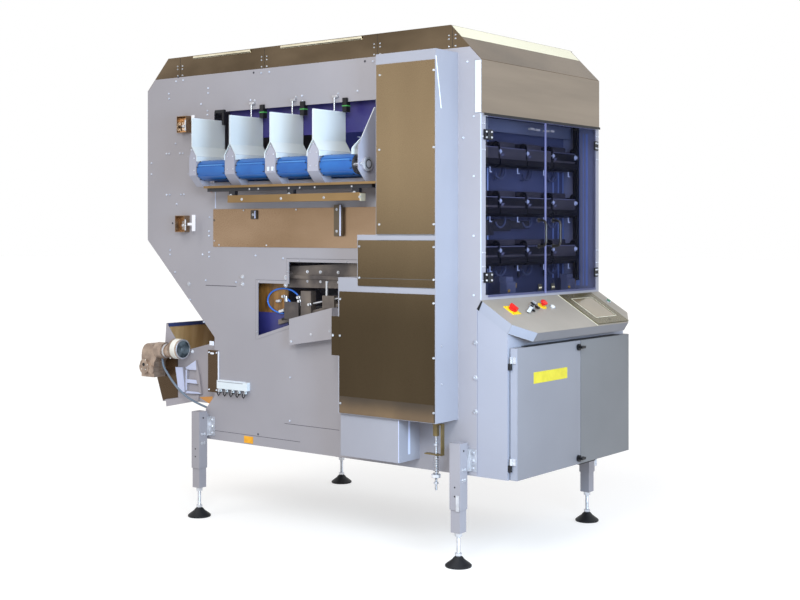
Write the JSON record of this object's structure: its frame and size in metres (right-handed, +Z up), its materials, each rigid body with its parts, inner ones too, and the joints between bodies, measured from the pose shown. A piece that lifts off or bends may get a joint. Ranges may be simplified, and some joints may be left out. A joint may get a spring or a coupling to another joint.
{
  "type": "weight grading machine",
  "caption": "Weight grading machine with side infeed lanes, tinted guard doors, sloped console, electrical cabinet and levelling feet.",
  "frame": {"origin": "centre of the machine's bounding box, on the floor", "axes": "+Z up; the console and doors face -Y; the lanes come out on the -X side"},
  "size_m": [1.3976, 2.596, 2.534],
  "materials": {
    "paint": "satin light grey-blue",
    "stainless": "bright rolled",
    "tinted": "blue tinted sheet",
    "black_plastic": "matte",
    "bronze": "dark satin",
    "yellow": "gloss",
    "red": "gloss",
    "white": "gloss",
    "green": "gloss",
    "screen": "dark olive frame",
    "zinc": "zinc plated",
    "belt": "smooth blue belting",
    "rubber": "matte",
    "alloy": "cast, unpainted",
    "cable": "satin sheath"
  },
  "bodies": {
    "machine": {"side_plate_left": "paint", "side_plate_right": "paint", "hood": "stainless", "front_fascia": "stainless", "door_frame": "paint", "guard_door_left": "tinted", "guard_door_right": "tinted", "guard_door_hinges": "black_plastic", "guard_door_handles": "bronze", "console": "paint", "yellow_plates": "yellow", "switch_rings": "zinc", "touch_screen": "screen", "cabinet_shell": "paint", "cabinet_hinge_pins": "black_plastic", "column_cover": "paint", "column_panels": "stainless", "lane_troughs": "paint", "lane_posts": "paint", "lane_drive_shaft": "zinc", "lane_belts": "belt", "lane_shelf_and_channel": "stainless", "sensor_rail": "black_plastic", "side_panels": "stainless", "far_window": "tinted", "nozzle_bar": "zinc", "chute_cover": "paint", "tension_rod": "zinc", "base_frame": "paint", "rear_cover": "paint", "legs": "paint", "levelling_feet": "rubber", "rear_hopper": "paint", "gearmotor": "alloy", "motor_cable": "cable", "weigh_heads": "black_plastic", "inner_panel": "paint", "sorting_unit": "zinc"},
    "door_left": {"cabinet_door_left": "paint", "cabinet_hinge_leaves_left": "zinc"},
    "door_right": {"cabinet_door_right": "paint", "cabinet_hinge_leaves_right": "zinc"},
    "knob_low": {"lock_knob_low": "black_plastic"},
    "knob_high": {"lock_knob_high": "black_plastic"},
    "switch_knob": {"main_switch_knob": "red"},
    "stop_button": {"stop_head": "red"},
    "button_white": {"white_button": "white"},
    "button_green": {"green_button": "green"}
  },
  "joints": [
    {"name": "cabinet_door_left_hinge", "type": "hinge", "parent": "machine", "child": "door_left", "pos_m": [-0.50875, -1.219, 0.722], "axis": [0, 0, -1], "range_deg": [0, 110]},
    {"name": "cabinet_door_right_hinge", "type": "hinge", "parent": "machine", "child": "door_right", "pos_m": [0.58125, -1.219, 0.722], "axis": [0, 0, 1], "range_deg": [0, 110]},
    {"name": "lock_low_turn", "type": "hinge", "parent": "door_left", "child": "knob_low", "pos_m": [0.04925, -1.253, 0.449], "axis": [0, -1, 0], "range_deg": [0, 90]},
    {"name": "lock_high_turn", "type": "hinge", "parent": "door_left", "child": "knob_high", "pos_m": [0.04925, -1.253, 0.993], "axis": [0, -1, 0], "range_deg": [0, 90]},
    {"name": "main_switch_turn", "type": "hinge", "parent": "machine", "child": "switch_knob", "pos_m": [-0.38175, -1.14698, 1.19296], "axis": [0, -0.5287, 0.8488], "range_deg": [0, 90]},
    {"name": "stop_button_press", "type": "slide", "parent": "machine", "child": "stop_button", "axis": [0, 0.5287, -0.8488], "range_m": [0, 0.004]},
    {"name": "white_button_press", "type": "slide", "parent": "machine", "child": "button_white", "axis": [0, 0.5287, -0.8488], "range_m": [0, 0.003], "stiffness_N_per_m": 300},
    {"name": "green_button_press", "type": "slide", "parent": "machine", "child": "button_green", "axis": [0, 0.5287, -0.8488], "range_m": [0, 0.003], "stiffness_N_per_m": 300}
  ]
}
